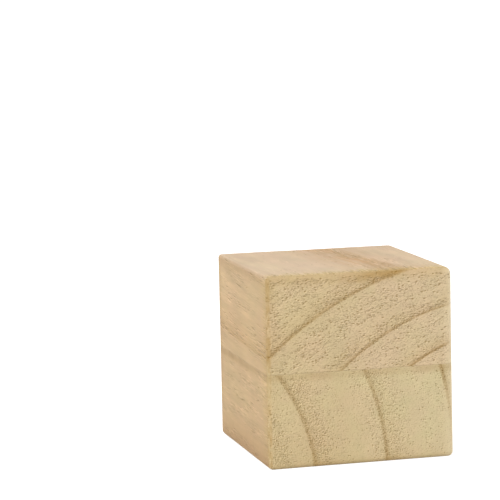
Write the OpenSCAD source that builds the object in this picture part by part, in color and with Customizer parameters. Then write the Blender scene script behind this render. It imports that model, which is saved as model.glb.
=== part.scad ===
// Wooden cube made of two boards glued face to face.
// The origin is at the centre of the bottom face, +Z is up, the grain runs
// along Y, and the end grain shows on the front (-Y) and the back (+Y).

/* [Cube] */
// Width across the grain, left to right
cube_width = 60; // [30:1:120]
// Length along the grain, front to back
cube_depth = 60; // [30:1:120]

/* [Boards] */
// Thickness of the lower board, from the bottom face to the glued seam
lower_board_thickness = 29.6; // [15:0.1:60]
// Thickness of the upper board, from the glued seam to the top face
upper_board_thickness = 30.4; // [15:0.1:60]

/* [Finish] */
// Radius of the sanded round along every outer edge and corner
edge_radius = 1.6; // [0.5:0.1:6]

/* [Hidden] */

LOWER_BOARD_COLOUR = [0.80, 0.70, 0.54];
UPPER_BOARD_COLOUR = [0.84, 0.73, 0.58];
ROUND_SEGMENTS = 48;

// Half extents of a face between the rounds
flat_half_width = cube_width / 2 - edge_radius;
flat_half_depth = cube_depth / 2 - edge_radius;

// A board's body between its rounded outer face and the seam. The outer face
// is at z = 0 and the seam at z = thickness; the four edges round the outer
// face, and the four upright corners, carry the sanded round.
module board(thickness) {
    upright = thickness - edge_radius;

    // Core and the two crossed slabs that reach the four upright faces
    translate([-cube_width / 2, -flat_half_depth, edge_radius])
        cube([cube_width, 2 * flat_half_depth, upright]);
    translate([-flat_half_width, -cube_depth / 2, edge_radius])
        cube([2 * flat_half_width, cube_depth, upright]);
    translate([-flat_half_width, -flat_half_depth, 0])
        cube([2 * flat_half_width, 2 * flat_half_depth, thickness]);

    // Upright corner rounds and the ball that ends each of them
    for (side_x = [-1, 1], side_y = [-1, 1])
        translate([side_x * flat_half_width, side_y * flat_half_depth, edge_radius]) {
            cylinder(r = edge_radius, h = upright, $fn = ROUND_SEGMENTS);
            sphere(r = edge_radius, $fn = ROUND_SEGMENTS);
        }

    // Edge rounds along the depth and along the width
    for (side_x = [-1, 1])
        translate([side_x * flat_half_width, flat_half_depth, edge_radius])
            rotate([90, 0, 0])
                cylinder(r = edge_radius, h = 2 * flat_half_depth, $fn = ROUND_SEGMENTS);
    for (side_y = [-1, 1])
        translate([-flat_half_width, side_y * flat_half_depth, edge_radius])
            rotate([0, 90, 0])
                cylinder(r = edge_radius, h = 2 * flat_half_width, $fn = ROUND_SEGMENTS);
}

module lower_board() {
    color(LOWER_BOARD_COLOUR)
        board(lower_board_thickness);
}

module upper_board() {
    color(UPPER_BOARD_COLOUR)
        translate([0, 0, lower_board_thickness + upper_board_thickness])
            mirror([0, 0, 1])
                board(upper_board_thickness);
}

lower_board();
upper_board();
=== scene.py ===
"""Wooden cube: two boards glued face to face, each a modelled mesh with solid, procedural wood.

The grain runs along Y. Each board carries its own growth coordinates, which the mesh code works out in
millimetres at every vertex: how far a point lies from the pith of the tree, how far round it, and how far
along the grain. Relief in the mesh and colour in the material both follow them, so the rings run through
the wood from the end grain onto the sides and the top.
"""

import math

import bpy
import numpy as np
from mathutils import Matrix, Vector


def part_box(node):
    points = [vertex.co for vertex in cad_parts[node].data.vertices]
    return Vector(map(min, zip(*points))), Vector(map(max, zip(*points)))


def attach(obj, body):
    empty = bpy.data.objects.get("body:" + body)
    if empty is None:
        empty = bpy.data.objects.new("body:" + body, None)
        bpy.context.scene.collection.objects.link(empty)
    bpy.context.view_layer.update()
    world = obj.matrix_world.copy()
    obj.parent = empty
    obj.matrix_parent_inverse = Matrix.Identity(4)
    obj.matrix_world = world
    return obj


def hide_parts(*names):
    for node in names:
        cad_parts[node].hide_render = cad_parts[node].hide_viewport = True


# A millimetre in metres
MM = 0.001

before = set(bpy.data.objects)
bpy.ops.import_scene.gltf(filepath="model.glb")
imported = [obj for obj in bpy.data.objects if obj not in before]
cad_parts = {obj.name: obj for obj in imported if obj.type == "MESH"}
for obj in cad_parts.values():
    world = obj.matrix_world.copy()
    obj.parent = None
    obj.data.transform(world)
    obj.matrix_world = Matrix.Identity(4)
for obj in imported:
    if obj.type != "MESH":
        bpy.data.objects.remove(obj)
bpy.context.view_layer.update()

# ---------------------------------------------------------------------------------------------------------
# The cube, from the frame, in millimetres
# ---------------------------------------------------------------------------------------------------------

LOWER_BOX, UPPER_BOX = (np.array(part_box(node)) / MM for node in ("lower_board", "upper_board"))
CUBE_LOW = LOWER_BOX[0]
CUBE_HIGH = UPPER_BOX[1]
SEAM = LOWER_BOX[1][2]

# Hand sanding rounded each corner a little differently: the radius at each end of x, of y and of z
CORNER_RADII = np.array(
    [
        [[1.4, 1.6], [1.6, 1.1]],  # low x: front bottom and top, back bottom and top
        [[1.6, 2.2], [1.7, 1.9]],  # high x
    ]
)

# Spacing of the mesh: fine across the grain, where the rings and pores are, and longer along it
ACROSS_GRAIN = 0.25
ALONG_GRAIN = 0.8
# Mesh lines over each rounded edge, and how wide a strip they cover: a little more than the largest radius
ROUND_STEPS = 8
ROUND_REACH = 2.4


def srgb(red, green, blue):
    """A colour given as it shows on a screen, 0 to 255, in the linear form that nodes take."""
    def linear(value):
        value /= 255
        return value / 12.92 if value <= 0.04045 else ((value + 0.055) / 1.055) ** 2.4
    return (linear(red), linear(green), linear(blue), 1.0)


# Each board: its pith, seen on the front end grain (x, z), how far the pith moves for each millimetre that
# a ring grows (drift), where the dark growth lines lie (distances from the pith) and how dark each one is,
# and how the trunk leans along the grain. The marks on the end grain have four settings: stretch is how
# long a torn grain is for its thickness, fineness how fine the hatch is, even how much of the marks is left
# between their clumps, and the last how strongly the hatch's embossing is painted into the colour as light
# and shade. warm_end and pale_end are the colours of the end grain at its left and right. open_grain is how
# dense and open the pores are, by distance from the pith.
BOARDS = {
    "lower_board": {
        "slot": "lower_board_wood",
        "pith": (-77.9, -8.2),
        "drift": (0.11, 0.20),
        "rings": (42.5, 63.5, 83.9, 103.7, 124.0, 146.0),
        "line_strength": (0.8, 0.8, 0.88, 1.35, 1.0, 1.0),
        "lean": (-0.02, 0.03),
        "seed": 11,
        "stretch": 1.2,
        "fineness": 5.15,
        "even": 0.7,
        "hatch_and_emboss_shade": 1.4,
        "warm_end": srgb(216, 192, 148),
        "pale_end": srgb(221, 203, 160),
        "open_grain": [
            (42, 0.6), (50, 0.8), (56, 0.8), (58, 0.3), (62.6, 0.1), (63.0, 0.9), (66.5, 0.8), (69, 0.4),
            (71, 0.1), (73, 0.2), (75, 0), (79, 0.1), (81, 0.45), (83.0, 0.4), (83.4, 0.8), (87, 0.6),
            (90, 0.3), (93, 0), (96, 0.25), (99, 0.1), (102.8, 0.3), (103.2, 0.7), (108, 0.5), (113, 0.2),
            (123.6, 0.2), (124, 1), (146, 0.2),
        ],
    },
    "upper_board": {
        "slot": "upper_board_wood",
        "pith": (49.0, -18.7),
        "drift": (-0.183, -0.467),
        "rings": (37.0, 58.8, 77.9, 102.6, 133.0, 160.0),
        "line_strength": (1.0, 1.5, 1.12, 1.1, 1.0, 1.0),
        "lean": (0.012, 0.050),
        "seed": 47,
        "stretch": 4.2,
        "fineness": 8.2,
        "even": 0.3,
        "hatch_and_emboss_shade": 0.85,
        "warm_end": srgb(215, 191, 148),
        "pale_end": srgb(222, 198, 160),
        "open_grain": [
            (37, 1), (50, 0.5), (55.5, 0.7), (57.6, 0.4), (58.0, 1), (60.0, 0.8), (61.5, 0.3), (63.3, 0.7),
            (65, 0.4), (66.8, 0.6), (68.0, 0.3), (70, 0.5), (73, 0.6), (75.5, 0.4), (76.9, 0.35),
            (77.3, 1.0), (81.4, 0.9), (84, 0.25), (86.2, 0.1), (87.5, 0.65), (92, 0.7), (97.5, 0.55),
            (100, 0.3), (101.7, 0.3), (102.1, 1), (105, 0.85), (106.5, 0.5), (108, 0.7), (109.5, 0.5),
            (111.5, 0.8), (115, 0.7), (124, 0.8), (132.6, 0.3), (133, 1), (160, 0.5),
        ],
    },
}

# The rings wander by up to this many millimetres, over these lengths in x, y and z
WANDER_REACH = 0.5
WANDER_LENGTHS = (34, 52, 34)

# The saw tore the end grain along nearly level strokes, which rise this far to the right, in radians.
# The raised edge of each stroke lies below it and to its right, this far away in x and z. It is bumped,
# and also painted into the colour as a highlight, as if lit from the upper left.
STROKE_RISE = math.radians(12)
LIT_EDGE_OFFSET = (0.30, -0.32)

# The number that marks the seam's own face, apart from the six outer sides
SEAM_SIDE = 9

# Relief of the mesh, in millimetres. Hand sanding left soft swells
SWELL_HEIGHT = 0.05
SWELL_WIDTH = 17.0
# Open pores: how far apart they are, how long they run along the grain, and how deep they are on each face
PORE_SPACING = 0.9
PORE_RUN = 9.0
PORE_DEPTH_END = 0.10
PORE_DEPTH_SIDE = 0.03
# Torn strokes on the end grain, and fine ridges along the sides, share their thickness
FIBRE_THICKNESS = 0.6
TORN_HEIGHT = 0.035
TORN_RUN = 5.0
RIDGE_HEIGHT = 0.012
RIDGE_RUN = 9.0
# The boards are flush this close to the seam
FLUSH_REACH = 0.7

# How bright the white world is as a light
WORLD_LIGHT = 0.55


# ---------------------------------------------------------------------------------------------------------
# Noise for the mesh
# ---------------------------------------------------------------------------------------------------------

def lattice_value(cell, seed):
    """A repeatable random number from 0 to 1 for each whole-numbered cell."""
    x, y, z = (cell[..., axis].astype(np.int64).astype(np.uint64) for axis in range(3))
    mixed = (x * np.uint64(73856093)) ^ (y * np.uint64(19349663)) ^ (z * np.uint64(83492791))
    mixed = (mixed + np.uint64(seed * 2654435761)) & np.uint64(0xFFFFFFFF)
    for multiplier in (0x45D9F3B, 0x119DE1F3):
        mixed = (mixed ^ (mixed >> np.uint64(16))) * np.uint64(multiplier) & np.uint64(0xFFFFFFFF)
    return (mixed ^ (mixed >> np.uint64(16))).astype(np.float64) / 0xFFFFFFFF


def smooth_noise(points, seed):
    """Smooth noise from -1 to 1, with features about one unit across."""
    cell = np.floor(points)
    share = points - cell
    share = share * share * (3 - 2 * share)
    total = np.zeros(len(points))
    for corner in np.ndindex(2, 2, 2):
        weight = np.prod(np.where(corner, share, 1 - share), axis=1)
        total += weight * lattice_value(cell + corner, seed)
    return total * 2 - 1


def layered_noise(points, seed, layers=3):
    """Smooth noise with finer and weaker layers on top."""
    total = np.zeros(len(points))
    for layer in range(layers):
        total += smooth_noise(points * 2**layer, seed + layer) / 2**layer
    return total


def nearest_pore(points, seed):
    """How far the nearest pore's centre is, in cells, and that pore's own random number."""
    cell = np.floor(points)
    nearest = np.full(len(points), np.inf)
    number = np.zeros(len(points))
    for offset in np.ndindex(3, 3, 3):
        other = cell + offset - 1
        # Each pore's centre strays from the middle of its cell
        centre = other + 0.5
        for axis in range(3):
            centre[:, axis] += (lattice_value(other, seed + axis) - 0.5) * 0.8
        distance = np.linalg.norm(points - centre, axis=1)
        closer = distance < nearest
        nearest[closer] = distance[closer]
        number[closer] = lattice_value(other, seed + 3)[closer]
    return nearest, number


# ---------------------------------------------------------------------------------------------------------
# Growth of the wood
# ---------------------------------------------------------------------------------------------------------

def growth(points, board):
    """Distance from the pith, distance round it and distance along the grain, and the count of rings."""
    along = points[:, 1] - CUBE_LOW[1]
    wander = np.stack(
        [smooth_noise(points / WANDER_LENGTHS + shift, board["seed"]) for shift in (0.0, 40.0)], axis=1
    )
    across = points[:, [0, 2]] - np.outer(along, board["lean"]) + WANDER_REACH * wander
    pith, drift = np.array(board["pith"]), np.array(board["drift"])
    # A ring's centre is pith + drift * (radius - first), so its radius solves a quadratic
    first = board["rings"][1]
    offset = across - pith + drift * first
    lead = offset @ drift
    shrink = 1 - drift @ drift
    radius = (-lead + np.sqrt(lead**2 + shrink * (offset**2).sum(1))) / shrink
    angle = np.arctan2(across[:, 1] - pith[1], across[:, 0] - pith[0])
    arc = angle * board["rings"][2]
    rings = np.interp(radius, board["rings"], np.arange(len(board["rings"])))
    return radius, arc, along, rings


# ---------------------------------------------------------------------------------------------------------
# The boards' meshes
# ---------------------------------------------------------------------------------------------------------

def stations(low, high, step, round_low, round_high):
    """Places of the mesh lines along one side, with ROUND_STEPS of them over each rounded edge."""
    start = low + ROUND_REACH * round_low
    end = high - ROUND_REACH * round_high
    places = np.linspace(start, end, max(2, round((end - start) / step) + 1))
    if round_low:
        places = np.concatenate([np.linspace(low, start, ROUND_STEPS, endpoint=False), places])
    if round_high:
        places = np.concatenate([places, np.linspace(end, high, ROUND_STEPS + 1)[1:]])
    return places


def board_grid(low, high, seam_on_top):
    """A closed box of quads, but for the seam's face, which is one polygon.

    Gives the vertices' places on the sharp-edged box, the quads, the side that each quad is on, and the
    rim of the seam's face.
    """
    lines = [
        stations(low[0], high[0], ACROSS_GRAIN, True, True),
        stations(low[1], high[1], ALONG_GRAIN, True, True),
        stations(low[2], high[2], ACROSS_GRAIN, seam_on_top, not seam_on_top),
    ]
    counts = [len(line) for line in lines]
    # Each vertex's number, where the lines cross on the outside
    number = -np.ones(counts, int)
    outside = np.zeros(counts, bool)
    for axis in range(3):
        for end in (0, -1):
            outside[(slice(None),) * axis + (end,)] = True
    # The seam's face has no vertices inside its rim
    seam_layer = counts[2] - 1 if seam_on_top else 0
    outside[1:-1, 1:-1, seam_layer] = False
    number[outside] = np.arange(outside.sum())
    at = np.argwhere(outside)
    places = np.stack([lines[axis][at[:, axis]] for axis in range(3)], axis=1)

    faces, sides = [], []
    for axis in range(3):
        u, v = (axis + 1) % 3, (axis + 2) % 3
        for end in (0, 1):
            layer = (counts[axis] - 1) * end
            if axis == 2 and layer == seam_layer:
                continue
            # The rows run along u and the columns along v
            grid = np.moveaxis(number, axis, 0)[layer]
            grid = grid if u < v else grid.T
            quads = np.stack([grid[:-1, :-1], grid[1:, :-1], grid[1:, 1:], grid[:-1, 1:]], axis=-1)
            quads = quads.reshape(-1, 4)
            faces.append(quads if end else quads[:, ::-1])
            sides.append(np.full(len(quads), 2 * axis + end))
    rim = np.concatenate(
        [
            number[:-1, 0, seam_layer],
            number[-1, :-1, seam_layer],
            number[:0:-1, -1, seam_layer],
            number[0, :0:-1, seam_layer],
        ]
    )
    return places, np.concatenate(faces), np.concatenate(sides), rim if seam_on_top else rim[::-1]


def sanded_radius(places):
    """The radius of the rounding near each place, between those of the cube's eight corners."""
    share = (places - CUBE_LOW) / (CUBE_HIGH - CUBE_LOW)
    radius = np.zeros(len(places))
    for corner in np.ndindex(2, 2, 2):
        radius += np.prod(np.where(corner, share, 1 - share), axis=1) * CORNER_RADII[corner]
    return radius


def rounded(places):
    """Moves points on the sharp-edged cube onto the rounded one. Gives the points and their normals."""
    radius = sanded_radius(places)[:, None]
    core = np.clip(places, CUBE_LOW + radius, CUBE_HIGH - radius)
    outward = places - core
    outward /= np.linalg.norm(outward, axis=1, keepdims=True)
    return core + radius * outward, outward


def relief(points, outward, open_grain, board):
    """Height of the surface over the smooth cube, in millimetres."""
    radius, arc, along, _ = growth(points, board)
    seed = board["seed"]
    end_grain = outward[:, 1] ** 2
    stretch = board["stretch"]

    # The sanded faces are slightly uneven, and both boards share the swells
    uneven = SWELL_HEIGHT * smooth_noise(points / SWELL_WIDTH, 5)
    # Open pores, long tubes along the grain: wider, and more of them, where the grain is open
    pore_cells = np.stack(
        [radius / PORE_SPACING, arc / (PORE_SPACING * stretch), along / PORE_RUN], axis=1
    )
    distance, number = nearest_pore(pore_cells, seed + 9)
    size = 0.20 + 0.16 * open_grain * number
    pore = np.clip(1.25 - distance / size, 0, 1) * (number < 0.1 + 0.7 * open_grain)
    pits = -pore * (PORE_DEPTH_END * end_grain + PORE_DEPTH_SIDE * (1 - end_grain))
    # Torn strokes on the end grain, and fine ridges along the sides
    level = points[:, 0] * math.cos(STROKE_RISE) + points[:, 2] * math.sin(STROKE_RISE)
    upright = points[:, 2] * math.cos(STROKE_RISE) - points[:, 0] * math.sin(STROKE_RISE)
    strokes = np.stack(
        [level / (FIBRE_THICKNESS * stretch), along / TORN_RUN, upright / FIBRE_THICKNESS], axis=1
    )
    torn = TORN_HEIGHT * layered_noise(strokes, seed + 20, layers=2)
    fibres = np.stack(
        [points[:, 0] / FIBRE_THICKNESS, along / RIDGE_RUN, points[:, 2] / FIBRE_THICKNESS], axis=1
    )
    ridges = RIDGE_HEIGHT * layered_noise(fibres, seed + 30)
    height = pits + torn * end_grain * (0.15 + 0.85 * open_grain) + ridges * (1 - end_grain)
    # The two boards were sanded as one, so they meet flush at the seam
    height *= 1 - np.exp(-(((points[:, 2] - SEAM) / FLUSH_REACH) ** 2))
    return uneven + height


def edge_distance(points):
    """How far each point is from the nearest edge of the cube, over its surface, in millimetres."""
    to_sides = np.minimum(points - CUBE_LOW, CUBE_HIGH - points)
    return np.sort(to_sides, axis=1)[:, 1]


def end_distance(points):
    """How far each point is from the nearer sawn end of the cube, in millimetres."""
    return np.minimum(points[:, 1] - CUBE_LOW[1], CUBE_HIGH[1] - points[:, 1])


def bake_map(mesh, places, corner_sides, corner_vertices, low, high):
    """Lays the five outer sides and the seam's face out flat, side by side, for the baked pictures."""
    gap = 1.0
    seam_scale = 0.4
    width, depth, height = high - low
    across = places - low
    # Each side's own two directions and its place on the sheet
    layout = {
        4: (0, 1, 0.0, 0.0),
        5: (0, 1, 0.0, 0.0),
        2: (0, 2, width + gap, 0.0),
        3: (0, 2, width + gap, height + gap),
        0: (1, 2, 0.0, depth + gap),
        1: (1, 2, depth + gap, depth + gap),
    }
    uv = np.zeros((len(corner_vertices), 2))
    for side, (u, v, left, bottom) in layout.items():
        on_side = corner_sides == side
        vertex = corner_vertices[on_side]
        uv[on_side] = np.stack([across[vertex, u] + left, across[vertex, v] + bottom], axis=1)
    on_seam = corner_sides == SEAM_SIDE
    vertex = corner_vertices[on_seam]
    uv[on_seam] = across[vertex, :2] * seam_scale + (0.0, depth + height + 2 * gap)
    sheet = width + depth + 3 * gap
    layer = mesh.uv_layers.new(name="OFBake")
    layer.data.foreach_set("uv", ((uv + gap / 2) / sheet).ravel())


def add_values(mesh, name, values):
    """Writes a number, or a vector, to each vertex for the material to read."""
    kind, field = ("FLOAT_VECTOR", "vector") if values.ndim == 2 else ("FLOAT", "value")
    mesh.attributes.new(name, kind, "POINT").data.foreach_set(field, values.astype(np.float32).ravel())


def make_board(node, board):
    """One board's own mesh, with its values, bake map and material, in place of the solid."""
    low, high = (np.array(corner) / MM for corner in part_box(node))
    seam_on_top = node == "lower_board"
    places, faces, sides, rim = board_grid(low, high, seam_on_top)
    smooth, outward = rounded(places)
    radius, arc, along, rings = growth(smooth, board)
    open_grain = np.interp(radius, *zip(*board["open_grain"]))
    height = relief(smooth, outward, open_grain, board)
    points = smooth + outward * height[:, None]
    # Both boards end exactly on the seam
    at_seam = np.abs(places[:, 2] - SEAM) < 1e-6
    points[at_seam, 2] = SEAM

    mesh = bpy.data.meshes.new(node)
    mesh.from_pydata((points * MM).tolist(), [], faces.tolist() + [rim.tolist()])
    mesh.polygons.foreach_set("use_smooth", np.append(np.ones(len(faces), bool), False))
    add_values(mesh, "growth", np.stack([radius, arc, along], axis=1))
    add_values(mesh, "rings", rings)
    add_values(mesh, "open_grain", open_grain)
    add_values(mesh, "line_strength", np.interp(radius, board["rings"], board["line_strength"]))
    add_values(mesh, "end_distance", end_distance(smooth))
    add_values(mesh, "outward", outward)
    add_values(mesh, "edge_distance", edge_distance(smooth))
    corner_vertices = np.empty(len(mesh.loops), int)
    mesh.loops.foreach_get("vertex_index", corner_vertices)
    corner_sides = np.concatenate([np.repeat(sides, 4), np.full(len(rim), SEAM_SIDE)])
    bake_map(mesh, places, corner_sides, corner_vertices, low, high)
    mesh.validate()
    piece = bpy.data.objects.new(node + "_wood", mesh)
    bpy.context.scene.collection.objects.link(piece)
    mesh.materials.append(wood(node, board))
    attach(piece, "root")
    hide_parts(node)


# ---------------------------------------------------------------------------------------------------------
# Materials
# ---------------------------------------------------------------------------------------------------------

class Nodes:
    """Short ways to add the shader nodes that the materials below use."""

    def __init__(self, tree):
        self.tree = tree

    def add(self, kind, **settings):
        made = self.tree.nodes.new("ShaderNode" + kind)
        for name, value in settings.items():
            setattr(made, name, value)
        return made

    def feed(self, socket, value):
        """Links a socket, or sets its own value. None leaves it as it is."""
        if isinstance(value, bpy.types.NodeSocket):
            self.tree.links.new(value, socket)
        elif value is not None:
            socket.default_value = value

    def attribute(self, name):
        return self.add("Attribute", attribute_name=name).outputs

    def math(self, operation, first, second=None, third=None):
        made = self.add("Math", operation=operation)
        for socket, value in zip(made.inputs, (first, second, third)):
            self.feed(socket, value)
        return made.outputs[0]

    def scaled(self, vector, factors):
        made = self.add("VectorMath", operation="MULTIPLY")
        self.feed(made.inputs[0], vector)
        self.feed(made.inputs[1], factors)
        return made.outputs[0]

    def noise(self, vector, scale, detail=2.0, roughness=0.5):
        made = self.add("TexNoise")
        self.feed(made.inputs["Vector"], vector)
        made.inputs["Scale"].default_value = scale
        made.inputs["Detail"].default_value = detail
        made.inputs["Roughness"].default_value = roughness
        return made.outputs["Fac"]

    def warp(self, vector, scale, reach):
        """Moves a place by up to about reach, smoothly and in all directions."""
        made = self.add("TexNoise")
        self.feed(made.inputs["Vector"], vector)
        made.inputs["Scale"].default_value = scale
        made.inputs["Detail"].default_value = 1.0
        moved = self.add("VectorMath", operation="MULTIPLY_ADD")
        self.feed(moved.inputs[0], made.outputs["Color"])
        self.feed(moved.inputs[1], (reach * 2,) * 3)
        self.feed(moved.inputs[2], (-reach,) * 3)
        return moved.outputs[0]

    def strokes(self, place, stretch):
        """Places for grains that lie along the saw's strokes, and are stretch times as long as thick."""
        turned = self.add("VectorRotate", rotation_type="Y_AXIS")
        self.feed(turned.inputs["Vector"], place)
        turned.inputs["Angle"].default_value = STROKE_RISE
        return self.scaled(turned.outputs[0], (1 / stretch, 0.12, 1.0))

    def split(self, vector):
        made = self.add("SeparateXYZ")
        self.feed(made.inputs[0], vector)
        return made.outputs

    def plus(self, vector, other):
        made = self.add("VectorMath", operation="ADD")
        self.feed(made.inputs[0], vector)
        self.feed(made.inputs[1], other)
        return made.outputs[0]

    def pores(self, place, above):
        """A dot in each cell whose own random number lies above a level."""
        cells = self.add("TexVoronoi")
        self.feed(cells.inputs["Vector"], place)
        cells.inputs["Scale"].default_value = PORES_A_MILLIMETRE
        numbers = self.add("SeparateColor")
        self.feed(numbers.inputs[0], cells.outputs["Color"])
        dot = self.span(cells.outputs["Distance"], 0.44, 0.18)
        open_cell = self.span(numbers.outputs[0], above, self.math("ADD", above, 0.04))
        return self.math("MULTIPLY", dot, open_cell)

    def seen_directly(self):
        """1 for a ray from the camera, a mirror or a glass, and 0 for one that only brings light."""
        path = self.add("LightPath").outputs
        seen = self.math("MAXIMUM", path["Is Camera Ray"], path["Is Glossy Ray"])
        return self.math("MAXIMUM", seen, path["Is Transmission Ray"])

    def ramp(self, value, stops):
        """A curve through (place, level) stops, smoothed."""
        made = self.add("ValToRGB")
        made.color_ramp.interpolation = "EASE"
        elements = made.color_ramp.elements
        while len(elements) < len(stops):
            elements.new(0.5)
        for element, (place, level) in zip(elements, stops):
            element.position = place
            element.color = (level, level, level, 1)
        self.feed(made.inputs[0], value)
        return made.outputs[0]

    def span(self, value, low, high, to_low=0.0, to_high=1.0, smooth=True):
        """to_low where value is low, to_high where it is high, and a smooth or a straight slope between."""
        made = self.add("MapRange", interpolation_type="SMOOTHSTEP" if smooth else "LINEAR")
        for socket, number in zip(made.inputs, (value, low, high, to_low, to_high)):
            self.feed(socket, number)
        return made.outputs[0]

    def mix(self, factor, first, second, blend="MIX"):
        made = self.add("Mix", data_type="RGBA", blend_type=blend)
        self.feed(made.inputs[0], factor)
        self.feed(made.inputs[6], first)
        self.feed(made.inputs[7], second)
        return made.outputs[2]

    def bump(self, height, distance):
        """The tilt of a surface that rises by distance, in metres, where height is 1."""
        made = self.add("Bump")
        made.inputs["Strength"].default_value = 1.0
        made.inputs["Distance"].default_value = distance
        self.feed(made.inputs["Height"], height)
        return made.outputs[0]


def emptied(owner):
    """The nodes of a new material or world, without those it starts with."""
    owner.use_nodes = True
    owner.node_tree.nodes.clear()
    return Nodes(owner.node_tree)


# Colours of the bare wood, then of what marks or stains it
SIDE_GRAIN = srgb(206, 175, 129)
FLAT_GRAIN = srgb(215, 187, 153)
# Also the painted highlight on the right-hand edges
PALE_GRAIN = srgb(240, 222, 184)
PORE_DARK = srgb(146, 108, 30)
WARM_GRAIN = srgb(205, 165, 92)
GROWTH_LINE = srgb(148, 106, 24)
EARLY_BAND = srgb(198, 149, 92)
OLIVE_BAND = srgb(180, 143, 90)
EDGE_GRAIN = srgb(182, 146, 88)
END_STAIN = srgb(204, 174, 102)
# Also the painted shade at the foot of the upright sides
BURNISH_AND_FOOT_SHADE = srgb(170, 132, 86)
GLUE = srgb(176, 144, 96)
# What the wood's colour is multiplied by: in its pinker and its greener patches, and, as painted shade and
# painted light, deep in the torn grain and on top of it and on the two sides of each embossed mark
PINKER = (1.012, 0.990, 1.008, 1.0)
GREENER = (0.988, 1.007, 0.982, 1.0)
PAINTED_SHADE_DEEP = (0.80, 0.78, 0.71, 1.0)
PAINTED_LIGHT_HIGH = (1.20, 1.22, 1.29, 1.0)

# How many cells, each with one open pore at most, lie in a millimetre across the torn strokes
PORES_A_MILLIMETRE = 2.1
# How high, in metres, the relief is that only the material gives
FINE_RELIEF = 0.35 * MM


class Grain:
    """The places and the growth values that the parts of the wood's material share."""

    def __init__(self, n, board):
        self.board = board
        self.growth = n.attribute("growth")["Vector"]
        self.open_grain = n.attribute("open_grain")["Fac"]
        self.line_strength = n.attribute("line_strength")["Fac"]
        self.edge = n.attribute("edge_distance")["Fac"]
        self.end = n.attribute("end_distance")["Fac"]
        # right runs from -1 on the left side to 1 on the right side, and flat_face is 1 on the top
        # and the bottom
        outward = n.split(n.attribute("outward")["Vector"])
        self.right = outward[0]
        self.flat_face = n.math("MULTIPLY", outward[2], outward[2])
        self.place = n.scaled(n.add("TexCoord").outputs["Object"], (1 / MM,) * 3)
        self.x, self.y, self.z = n.split(self.place)
        # The top is smoothest on its left
        self.smooth_top = n.math("MULTIPLY", self.flat_face, n.span(self.x, -5, 15, 1.0, 0.0))
        # The sawn end grain reaches a little way over the rounded edges, with a ragged border
        frayed = n.noise(n.scaled(self.place, (1.0, 0.3, 1.0)), 0.9, detail=3, roughness=0.65)
        border = n.math("ADD", self.end, n.math("MULTIPLY_ADD", frayed, 1.8, -0.9))
        # The front end was sawn rougher than the back: front is 1 at the front and 0 at the back
        self.front = n.span(self.y, 20, -20)
        border = n.math("ADD", border, n.math("MULTIPLY_ADD", self.front, -1.4, 1.2))
        self.end_grain = n.span(border, 1.6, 0.6)
        self.side_grain = n.math("SUBTRACT", 1.0, self.end_grain)
        # Ring phase: 0 at a growth line, and 1 at the next one
        ragged = n.noise(n.scaled(self.growth, (1.4, 0.9, 0.09)), 1.0, detail=3, roughness=0.7)
        ragged = n.math("MULTIPLY_ADD", ragged, 0.04, -0.02)
        self.phase = n.math("FRACT", n.math("ADD", n.attribute("rings")["Fac"], ragged))
        line = n.ramp(
            self.phase,
            [
                (0, 0.95), (0.02, 0.5), (0.045, 0.14), (0.1, 0.06),
                (0.25, 0.0), (0.955, 0.0), (0.975, 0.85), (0.99, 1.0),
            ],
        )
        self.line = n.math("MULTIPLY", line, self.line_strength)
        # The right-hand side almost follows a ring of the lower board, so the line is weaker there
        self.long_line = n.math("MULTIPLY", self.line, n.span(self.right, 0.5, 0.9, 1.0, 0.5))
        self.near_line = n.ramp(
            self.phase,
            [(0, 1), (0.12, 0.85), (0.25, 0.3), (0.38, 0), (0.92, 0), (0.97, 0.7), (1, 1)],
        )


def ground(n, grain):
    """The bare wood: its own colour on each kind of face, with tinted patches and streaks."""
    base = n.mix(grain.flat_face, SIDE_GRAIN, FLAT_GRAIN)
    # The top is palest towards the front
    pale = n.math("MULTIPLY", n.math("MULTIPLY", grain.front, grain.flat_face), 0.2)
    base = n.mix(pale, base, PALE_GRAIN)
    # The end grain is warmer towards the left
    wander = n.math("MULTIPLY_ADD", n.noise(grain.place, 0.05, detail=1), 50, -25)
    across = n.span(n.math("ADD", grain.x, wander), -28, 30, smooth=False)
    end = n.mix(across, grain.board["warm_end"], grain.board["pale_end"])
    base = n.mix(grain.end_grain, base, end)
    # Wide patches that are pinker or greener, and patches and streaks that are lighter or darker
    tint = n.noise(n.scaled(grain.place, (1.0, 0.45, 1.0)), 0.10, detail=3, roughness=0.6)
    base = n.mix(1.0, base, n.mix(n.span(tint, 0.35, 0.65), GREENER, PINKER), "MULTIPLY")
    mottle = n.noise(grain.place, 0.07, detail=3)
    patch = n.noise(n.scaled(grain.place, (1.0, 0.45, 1.0)), 0.22, detail=2)
    patch = n.math("MULTIPLY", n.math("SUBTRACT", patch, 0.5), grain.side_grain)
    streak = n.noise(n.scaled(grain.growth, (0.3, 0.22, 0.03)), 1.0, detail=3, roughness=0.55)
    streaky = n.math("MULTIPLY_ADD", grain.side_grain, 0.35, 0.15)
    streaky = n.math("MULTIPLY", streaky, n.math("MULTIPLY_ADD", grain.smooth_top, -0.4, 1.0))
    shade = n.math("MULTIPLY_ADD", patch, 0.18, n.math("MULTIPLY_ADD", mottle, 0.14, 0.93))
    streaks = n.math("MULTIPLY_ADD", n.math("SUBTRACT", streak, 0.5), streaky, 1.0)
    # The wood between open pores is paler
    open_end = n.math("MULTIPLY", grain.open_grain, grain.end_grain)
    shade = n.math("MULTIPLY_ADD", open_end, 0.065, shade)
    return n.mix(1.0, base, n.math("MULTIPLY", shade, streaks), "MULTIPLY")


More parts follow.
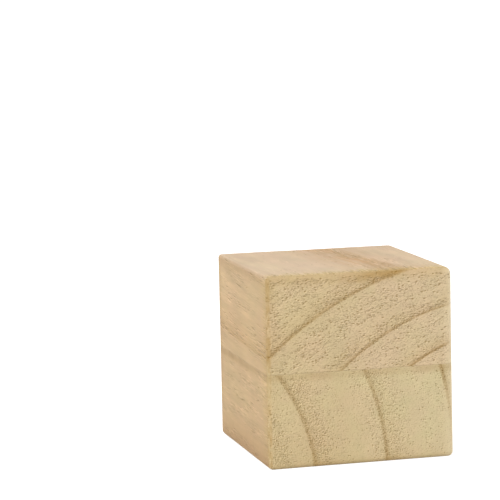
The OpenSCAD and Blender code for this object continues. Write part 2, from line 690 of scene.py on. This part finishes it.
def end_grain_marks(n, grain):
    """What the saw tore out of the end grain: dark pits, the embossing round them, bumped and painted into
    the colour as light and shade, and the relief.
    """
    stretch = grain.board["stretch"]
    fineness = grain.board["fineness"]
    wandering = n.plus(grain.place, n.warp(grain.place, 0.2, 0.5))
    lit_edge_place = n.plus(wandering, (-LIT_EDGE_OFFSET[0], 0, -LIT_EDGE_OFFSET[1]))

    # They come in clumps that follow the rings. Sanding wore them off the rounded edges and off a strip
    # beside the right-hand edge
    clumps = n.noise(n.scaled(grain.growth, (0.5, 0.1, 0.02)), 1.0, detail=2)
    openness = n.math("MULTIPLY", grain.open_grain, n.span(clumps, 0.36, 0.56, grain.board["even"], 1.0))
    openness = n.math("MULTIPLY", openness, n.span(grain.edge, 0.3, 2.0, 0.3, 1.0))
    openness = n.math("MULTIPLY", openness, n.span(grain.x, 26.0, 28.5, 1.0, 0.3))
    # Glue filled the pores next to the seam
    from_seam = n.math("ABSOLUTE", n.math("SUBTRACT", grain.z, float(SEAM)))
    openness = n.math("MULTIPLY", openness, n.span(from_seam, 0.2, 1.6, 0.35, 1.0))

    # A fine hatch of torn grains, with dark pits where it is deepest, over coarser tears
    place = n.strokes(wandering, stretch)
    here = n.noise(place, fineness, detail=0.0)
    there = n.noise(n.strokes(lit_edge_place, stretch), fineness, detail=0.0)
    dark_from = n.math("MULTIPLY_ADD", openness, -0.14, 0.715)
    dark = n.span(here, dark_from, n.math("ADD", dark_from, 0.10))
    dark = n.math("MULTIPLY", dark, grain.end_grain)
    rough = n.math("MULTIPLY", n.math("MULTIPLY_ADD", openness, 0.88, 0.12), grain.end_grain)
    hatch_and_emboss_shade = n.math("MULTIPLY", n.math("SUBTRACT", there, here), rough)
    # The coarser tears are bumped, and also painted darker where deep and lighter where high, as painted
    # shade and light
    torn = n.noise(place, 1.8, detail=2, roughness=0.7)
    torn = n.math("MULTIPLY", n.math("SUBTRACT", torn, 0.5), rough)

    # Single open pores, each with a pale lip beside it, a painted highlight
    above = n.math("MULTIPLY_ADD", openness, -0.85, 1.0)
    pore_stretch = 0.6 + 0.45 * stretch
    pores = n.math("MULTIPLY", n.pores(n.strokes(wandering, pore_stretch), above), grain.end_grain)
    lip_highlights = n.math("MULTIPLY", n.pores(n.strokes(lit_edge_place, pore_stretch), above), grain.end_grain)

    dark = n.math("MAXIMUM", n.math("MULTIPLY", dark, 0.55), pores)
    # Painted light and shade in the colour: the hatch's embossing, the coarser tears darker where deep and
    # lighter where high, and each pore's pale lip as a painted highlight
    shade = n.math("MULTIPLY_ADD", hatch_and_emboss_shade, grain.board["hatch_and_emboss_shade"], n.math("MULTIPLY_ADD", torn, 0.42, 0.5))
    shade = n.math("MULTIPLY_ADD", lip_highlights, 0.4, shade)
    height = n.math("MULTIPLY_ADD", dark, -0.35, n.math("MULTIPLY_ADD", hatch_and_emboss_shade, 0.3, torn))
    return dark, n.mix(shade, PAINTED_SHADE_DEEP, PAINTED_LIGHT_HIGH), height


def long_grain_marks(n, grain):
    """Vessels cut lengthwise: thin dark dashes on the long grain, and beside each an embossed streak,
    bumped and painted as light and shade, with a painted highlight on its lip.
    """
    place = n.scaled(grain.growth, (1.5, 1.5, 0.2))
    here = n.noise(place, 1.0, detail=2, roughness=0.55)
    there = n.noise(n.plus(place, (0.28, -0.28, 0.0)), 1.0, detail=2, roughness=0.55)

    # There are more dashes on the upright sides than on the top, in clumps and near a growth line, up to a
    # limit. The line itself is a row of them
    clumps = n.noise(n.scaled(grain.growth, (0.2, 0.2, 0.06)), 1.0, detail=1)
    dark_from = n.math("MULTIPLY_ADD", grain.flat_face, 0.03, 0.665)
    dark_from = n.math("MULTIPLY_ADD", n.math("SUBTRACT", clumps, 0.5), -0.3, dark_from)
    dark_from = n.math("MULTIPLY_ADD", grain.near_line, -0.07, dark_from)
    dark_from = n.math("MAXIMUM", dark_from, 0.625)
    dark_from = n.math("MULTIPLY_ADD", grain.long_line, -0.09, dark_from)
    dark_to = n.math("ADD", dark_from, 0.06)
    dark = n.math("MULTIPLY", n.span(here, dark_from, dark_to), grain.side_grain)
    lip_highlights = n.math("MULTIPLY", n.span(there, dark_from, dark_to), grain.side_grain)

    # The streaks are deepest in the clumps and near a growth line, shallow on the top, most of all on its
    # left, and deep again where the front end frays
    depth = n.span(n.math("MULTIPLY_ADD", grain.near_line, 0.08, clumps), 0.45, 0.62, 0.15, 1.05)
    shallow = n.math("MULTIPLY_ADD", grain.flat_face, -0.35, 1.0)
    shallow = n.math("MULTIPLY_ADD", grain.smooth_top, -0.45, shallow)
    depth = n.math("MULTIPLY", depth, shallow)
    frayed = n.math("MULTIPLY", n.span(grain.end, 8, 1), n.math("MULTIPLY_ADD", grain.flat_face, 1.2, 0.5))
    depth = n.math("ADD", depth, n.math("MULTIPLY", frayed, grain.front))
    depth = n.math("MULTIPLY", depth, grain.side_grain)
    relief = n.math("MULTIPLY", n.math("SUBTRACT", there, here), depth)
    # The streaks' embossing is painted into the colour as light and shade, and each dash's lip as a painted
    # highlight
    shade = n.math("MULTIPLY_ADD", relief, 1.9, n.math("MULTIPLY_ADD", lip_highlights, 0.4, 0.5))
    return dark, n.mix(shade, PAINTED_SHADE_DEEP, PAINTED_LIGHT_HIGH), relief


def ring_colours(n, grain, colour):
    """Growth lines: brown and narrow on the end grain, and soft bands with a thin line on the sides."""
    # The wood beside a line is warmer, and most of all beside a strong one
    warm = n.math("MULTIPLY", n.math("POWER", grain.line_strength, 2.0), 0.07)
    warm = n.math("MULTIPLY", warm, n.math("MULTIPLY", grain.near_line, grain.end_grain))
    colour = n.mix(warm, colour, WARM_GRAIN)
    # The lines are grainy, and darkest at the foot of the cube
    grainy = n.noise(n.scaled(grain.growth, (1.0, 0.8, 0.1)), 2.6, detail=2, roughness=0.7)
    share = n.math("MULTIPLY", grain.line, n.span(grainy, 0.3, 0.65, 0.17, 0.48))
    share = n.math("MULTIPLY", share, n.span(grain.z, 14, 2, 1.0, 1.4))
    colour = n.mix(n.math("MULTIPLY", share, grain.end_grain), colour, GROWTH_LINE)

    band = n.ramp(
        grain.phase,
        [
            (0, 0.95), (0.045, 1), (0.1, 0.75), (0.2, 0.36),
            (0.36, 0.04), (0.76, 0.05), (0.9, 0.3), (1, 0.95),
        ],
    )
    streaky = n.noise(n.scaled(grain.growth, (1.6, 0.8, 0.03)), 1.0, detail=3, roughness=0.6)
    band = n.math("MULTIPLY", band, n.span(streaky, 0.3, 0.6, 0.4, 1.0))
    band = n.math("MULTIPLY", band, n.math("MULTIPLY_ADD", grain.flat_face, 0.5, 0.3))
    # The bands are orange in places and olive in others
    patches = n.noise(n.scaled(grain.growth, (0.15, 0.1, 0.05)), 1.0, detail=1)
    band_colour = n.mix(n.span(patches, 0.42, 0.6, 0.0, 0.7), EARLY_BAND, OLIVE_BAND)
    colour = n.mix(n.math("MULTIPLY", band, grain.side_grain), colour, band_colour)
    # The thin line in each band is plainer on the upright sides than on the top
    thin = n.math("MULTIPLY", grain.long_line, n.span(streaky, 0.35, 0.6, 0.1, 0.4))
    thin = n.math("MULTIPLY", thin, n.math("MULTIPLY_ADD", grain.flat_face, -0.5, 1.0))
    return n.mix(n.math("MULTIPLY", thin, grain.side_grain), colour, EDGE_GRAIN)


def rim_colour(n, grain, colour, from_edge):
    """The end grain is browner along the top and the foot, and most of all near a growth line."""
    top = n.span(grain.z, 45, 58, 0.15, 1.0)
    foot = n.span(grain.z, 3, 1, 0.0, 0.45)
    rim = n.math("MULTIPLY", grain.end_grain, n.math("MAXIMUM", top, foot))
    rim = n.math("MULTIPLY", n.span(from_edge, 4.5, 0.5), rim)
    rim = n.math("MULTIPLY", rim, n.math("MULTIPLY_ADD", grain.front, 0.7, 0.3))
    rim = n.math("MULTIPLY", rim, n.math("MULTIPLY_ADD", grain.near_line, 0.6, 0.3))
    return n.mix(rim, colour, EDGE_GRAIN)


def end_stain(n, grain, colour):
    """A stain runs along the grain from the sawn front end, and is browner near a growth line."""
    streaky = n.noise(n.scaled(grain.place, (1.1, 0.14, 1.1)), 1.0, detail=3, roughness=0.7)
    from_end = n.math("ADD", grain.end, n.math("MULTIPLY_ADD", streaky, 16.0, -8.0))
    # It is stronger on the top than on the sides
    stain = n.math("MULTIPLY", grain.side_grain, grain.front)
    stain = n.math("MULTIPLY", n.span(from_end, 9.0, -1.0), stain)
    stain = n.math("MULTIPLY", stain, n.math("MULTIPLY_ADD", grain.flat_face, 0.35, 0.35))
    colour = n.mix(stain, colour, END_STAIN)
    brown = n.math("MULTIPLY", grain.near_line, grain.side_grain)
    brown = n.math("MULTIPLY", n.span(from_end, 6.0, 0.0), brown)
    brown = n.math("MULTIPLY", brown, n.math("MULTIPLY_ADD", grain.front, 0.35, 0.1))
    return n.mix(brown, colour, EDGE_GRAIN)


def burnished_edges_and_foot_shade(n, grain, colour, from_edge, ragged):
    """Upright sides are burnished along their edges, less so where the front end begins, and have painted
    shade at the foot, darker towards the floor.
    """
    upright = n.math("MULTIPLY", n.span(grain.flat_face, 0.95, 0.4), grain.side_grain)
    front_edge = n.math("MULTIPLY", n.span(grain.end, 6, 2), grain.front)
    edge = n.math("MULTIPLY", n.span(from_edge, 5.5, 0.0), n.math("MULTIPLY_ADD", front_edge, -0.3, 0.48))
    # Painted shade: the upright sides darken over their lowest 14 mm towards the floor
    foot = n.math("POWER", n.span(n.math("ADD", grain.z, ragged), 14, 1.0, smooth=False), 1.6)
    burnish_and_foot_shade = n.math("MULTIPLY", upright, n.math("MAXIMUM", edge, n.math("MULTIPLY", foot, 0.75)))
    return n.mix(burnish_and_foot_shade, colour, BURNISH_AND_FOOT_SHADE)


def edge_colours(n, grain, colour):
    """Everything that sawing and sanding did to the colour along the edges, with painted shade at the foot
    of the upright sides and a painted highlight on the right-hand edges.
    """
    ragged = n.math("MULTIPLY_ADD", n.noise(grain.place, 0.6, detail=4, roughness=0.65), 4.0, -2.0)
    from_edge = n.math("ADD", grain.edge, ragged)
    colour = rim_colour(n, grain, colour, from_edge)
    colour = end_stain(n, grain, colour)
    colour = burnished_edges_and_foot_shade(n, grain, colour, from_edge, ragged)
    # The left-hand edge of the sawn end is the dirtiest
    ridge = n.math("MULTIPLY", n.span(grain.right, -0.15, -0.5, 0.0, 0.34), n.span(grain.end, 2.2, 0.7))
    worn = n.noise(n.scaled(grain.place, (1.0, 1.0, 0.5)), 0.8, detail=3, roughness=0.6)
    ridge = n.math("MULTIPLY", ridge, n.span(worn, 0.35, 0.65, 0.3, 1.7))
    colour = n.mix(n.math("MULTIPLY", ridge, grain.front), colour, EDGE_GRAIN)
    # Painted highlight: the right-hand edge of each end, and a strip of end grain beside it, are painted
    # palest, as if lit from the right
    right_edge_highlight = n.math("MULTIPLY", n.span(grain.right, 0.1, 0.6), n.span(grain.end, 5, 1, 0, 0.75))
    right_strip_highlight = n.math("MULTIPLY", n.span(grain.x, 26, 29, 0, 0.4), grain.end_grain)
    return n.mix(n.math("MAXIMUM", right_edge_highlight, right_strip_highlight), colour, PALE_GRAIN)


def seam_colours(n, grain, colour):
    """A soft brown line just under the seam, where the glue soaked in. It is plainer on the long grain."""
    below = n.math("SUBTRACT", float(SEAM), grain.z)
    glue = n.math("MULTIPLY", n.span(below, -0.5, 0.4), n.span(below, 3.2, 0.9))
    patchy = n.span(n.noise(grain.place, 0.09, detail=2), 0.35, 0.6, 0.28, 0.55)
    patchy = n.math("MULTIPLY", patchy, n.math("MULTIPLY_ADD", grain.end_grain, -1.1, 1.7))
    return n.mix(n.math("MULTIPLY", glue, patchy), colour, GLUE)


def wood(node, board):
    """The whole material of one board."""
    material = bpy.data.materials.new(node + "_wood")
    n = emptied(material)
    grain = Grain(n, board)

    pits, shade, torn = end_grain_marks(n, grain)
    dashes, streaks, fibres = long_grain_marks(n, grain)
    colour = ground(n, grain)
    colour = ring_colours(n, grain, colour)
    colour = edge_colours(n, grain, colour)
    colour = seam_colours(n, grain, colour)
    # Painted light and shade of the embossed marks, the torn grain and the pale lips
    colour = n.mix(1.0, colour, shade, "MULTIPLY")
    colour = n.mix(1.0, colour, streaks, "MULTIPLY")
    colour = n.mix(n.math("MULTIPLY", pits, 0.62), colour, PORE_DARK)
    colour = n.mix(n.math("MULTIPLY", dashes, 0.42), colour, PORE_DARK)

    # Relief finer than the mesh
    height = n.math("MULTIPLY_ADD", fibres, 0.4, torn)
    height = n.math("MULTIPLY_ADD", dashes, -0.4, height)

    shader = n.add("BsdfPrincipled")
    n.feed(shader.inputs["Base Color"], colour)
    shader.inputs["Specular IOR Level"].default_value = 0.25
    n.feed(shader.inputs["Roughness"], n.math("MULTIPLY_ADD", grain.end_grain, 0.25, 0.6))
    n.feed(shader.inputs["Normal"], n.bump(height, FINE_RELIEF))
    n.feed(n.add("OutputMaterial").inputs["Surface"], shader.outputs[0])
    return material


def floor_material():
    """White to the camera, with the cube's soft shadow kept on it."""
    material = bpy.data.materials.new("floor")
    n = emptied(material)
    matt = n.add("BsdfDiffuse")
    matt.inputs["Color"].default_value = (0.7, 0.7, 0.7, 1)
    lift = n.add("Emission")
    n.feed(lift.inputs["Strength"], n.math("MULTIPLY", n.seen_directly(), 0.7))
    both = n.add("AddShader")
    n.feed(both.inputs[0], matt.outputs[0])
    n.feed(both.inputs[1], lift.outputs[0])
    n.feed(n.add("OutputMaterial").inputs["Surface"], both.outputs[0])
    return material


# ---------------------------------------------------------------------------------------------------------
# Stage: floor, light and camera
# ---------------------------------------------------------------------------------------------------------

def make_floor():
    """A wide floor at the foot of the cube. Its sides are 12 m long."""
    half = 6.0
    mesh = bpy.data.meshes.new("floor")
    corners = [(-half, -half, 0), (half, -half, 0), (half, half, 0), (-half, half, 0)]
    mesh.from_pydata(corners, [], [(0, 1, 2, 3)])
    mesh.materials.append(floor_material())
    floor = bpy.data.objects.new("floor", mesh)
    bpy.context.scene.collection.objects.link(floor)


def make_world():
    """Even white light from all round."""
    world = bpy.data.worlds.new("studio")
    bpy.context.scene.world = world
    n = emptied(world)
    background = n.add("Background")
    background.inputs["Color"].default_value = (1, 1, 1, 1)
    # Full white where it is seen, and dimmer as a light
    strength = n.math("MULTIPLY_ADD", n.seen_directly(), 1.0 - WORLD_LIGHT, WORLD_LIGHT)
    n.feed(background.inputs["Strength"], strength)
    n.feed(n.add("OutputWorld").inputs["Surface"], background.outputs[0])


def add_lamp(name, place, power, size):
    """A square soft lamp that faces the cube. place is in metres."""
    data = bpy.data.lights.new(name, "AREA")
    data.energy = power
    data.size = size
    lamp = bpy.data.objects.new(name, data)
    bpy.context.scene.collection.objects.link(lamp)
    lamp.location = place
    middle = np.array([0, 0, (CUBE_LOW[2] + CUBE_HIGH[2]) / 2]) * MM
    lamp.rotation_euler = turned_towards(place, middle)


def turned_towards(place, target):
    """The rotation of a lamp at place that shines at target."""
    return (Vector(target) - Vector(place)).to_track_quat("-Z", "Y").to_euler()


def make_camera():
    """The camera sees the cube's front, left side and top, and the cube lies low in the frame."""
    data = bpy.data.cameras.new("camera")
    data.sensor_width = 36.0
    data.lens = 175.57
    camera = bpy.data.objects.new("camera", data)
    bpy.context.scene.collection.objects.link(camera)
    camera.location = (-0.22278, -0.73924, 0.16437)
    camera.rotation_euler = [math.radians(angle) for angle in (82.575, 1.1705, -14.9908)]
    bpy.context.scene.camera = camera


make_camera()
make_world()
add_lamp("key", (-0.75, -0.85, 0.75), 8.5, 0.7)
add_lamp("right", (1.08, -0.12, 0.3), 4.5, 0.7)
add_lamp("back", (-0.25, 1.0, 0.3), 4.0, 0.7)
make_floor()
for node_name, settings in BOARDS.items():
    make_board(node_name, settings)

scene = bpy.context.scene
scene.view_settings.view_transform = "Standard"
